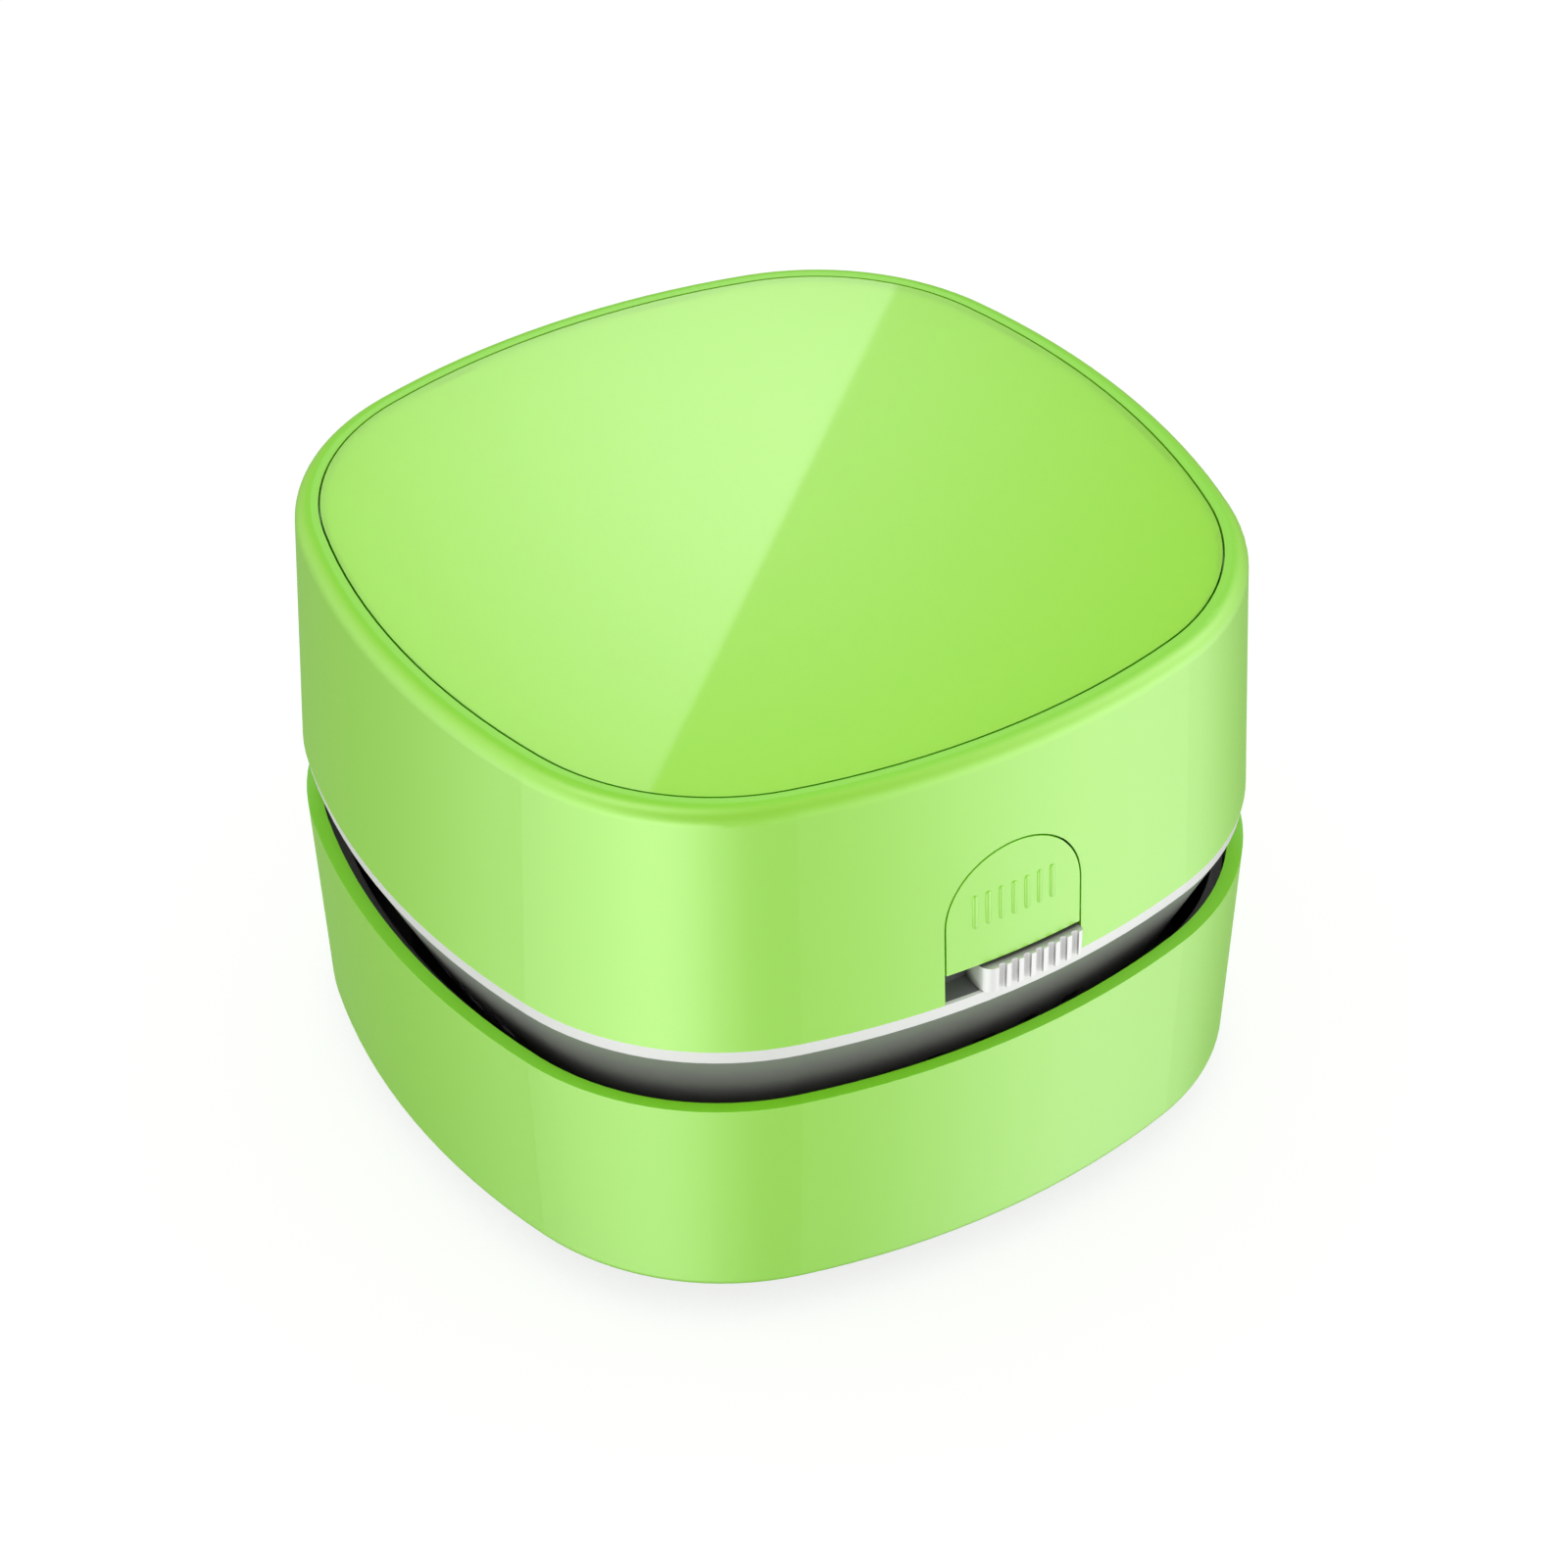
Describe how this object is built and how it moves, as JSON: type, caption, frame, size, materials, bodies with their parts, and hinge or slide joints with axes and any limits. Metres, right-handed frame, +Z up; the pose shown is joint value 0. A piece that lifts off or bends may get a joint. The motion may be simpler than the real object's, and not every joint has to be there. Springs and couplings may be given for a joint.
{
  "type": "desktop mini vacuum cleaner",
  "caption": "Rounded-square desktop mini vacuum cleaner: lift-off cover with push button and slide switch over AA cells, fan bowl and filter, and a lower dust box with brushed suction mouth.",
  "frame": {"origin": "on the desk, under the middle of the footprint", "axes": "+Z up; -Y towards the side with the push button and the slide switch; +X to the right seen from that side"},
  "size_m": [0.0852, 0.0857, 0.0607],
  "materials": {
    "shell_green": "smooth, light gloss",
    "cover_green": "smooth, light gloss",
    "top_plate_clear": "clear, mirror gloss",
    "button_green": "smooth, light gloss",
    "frame_white": "satin",
    "knob_white": "satin",
    "bowl_dark": "gloss",
    "cup_black": "satin",
    "base_dark": "fine grain",
    "brush_dark": "satin",
    "bristle": "nylon",
    "foot_rubber": "matte",
    "gasket_rubber": "matte",
    "screw_steel": "zinc plated",
    "filter_frame": "satin",
    "filter_mesh": "fine woven mesh",
    "impeller_white": "satin",
    "motor_steel": "zinc plated",
    "magnet": "sintered ferrite",
    "end_cap": "satin",
    "terminal": "tinned",
    "shaft_steel": "ground",
    "armature": "laminated",
    "winding": "enamelled copper wire",
    "lead_red": "pvc",
    "lead_black": "pvc",
    "tray_black": "satin",
    "cell_jacket": "plain jacket",
    "contact_steel": "nickel plated",
    "switch_tray": "satin",
    "switch_body": "satin"
  },
  "bodies": {
    "lower_body": {"lower_shell": "shell_green", "dust_cup": "cup_black", "base_plate": "base_dark", "brush_ring": "brush_dark", "bristle_tufts": "bristle", "glide_feet": "foot_rubber", "base_screws": "screw_steel"},
    "upper_unit": {"frame_plate": "frame_white", "fan_bowl": "bowl_dark", "seal_gasket": "gasket_rubber", "filter_frame": "filter_frame", "filter_mesh": "filter_mesh", "motor_can": "motor_steel", "motor_magnets": "magnet", "motor_end_cap": "end_cap", "motor_terminals": "terminal", "frame_screws": "screw_steel", "battery_tray": "tray_black", "battery_cell_left": "cell_jacket", "battery_cell_right": "cell_jacket", "contact_plates": "contact_steel", "contact_springs": "contact_steel", "lead_red": "lead_red", "lead_black": "lead_black", "switch_tray": "switch_tray", "switch_body": "switch_body", "button_spring": "contact_steel"},
    "cover": {"cover_shell": "cover_green", "top_plate": "top_plate_clear"},
    "push_button": {"push_button": "button_green"},
    "switch_knob": {"switch_knob": "knob_white"},
    "fan": {"impeller": "impeller_white", "motor_shaft": "shaft_steel", "armature": "armature", "windings": "winding"}
  },
  "joints": [
    {"name": "upper_lift", "type": "slide", "parent": "lower_body", "child": "upper_unit", "axis": [0, 0, 1], "range_m": [0, 0.03]},
    {"name": "cover_lift", "type": "slide", "parent": "upper_unit", "child": "cover", "axis": [0, 0, 1], "range_m": [0, 0.03]},
    {"name": "button_push", "type": "slide", "parent": "upper_unit", "child": "push_button", "axis": [0, 1, 0], "range_m": [0, 0.0015], "stiffness_N_per_m": 600, "springref_m": -0.0008, "deforming": ["button_spring"]},
    {"name": "switch_slide", "type": "slide", "parent": "upper_unit", "child": "switch_knob", "axis": [1, 0, 0], "range_m": [-0.0036, 0]},
    {"name": "fan_spin", "type": "hinge", "parent": "upper_unit", "child": "fan", "pos_m": [0, 0, 0.03], "axis": [0, 0, 1], "continuous": true}
  ]
}
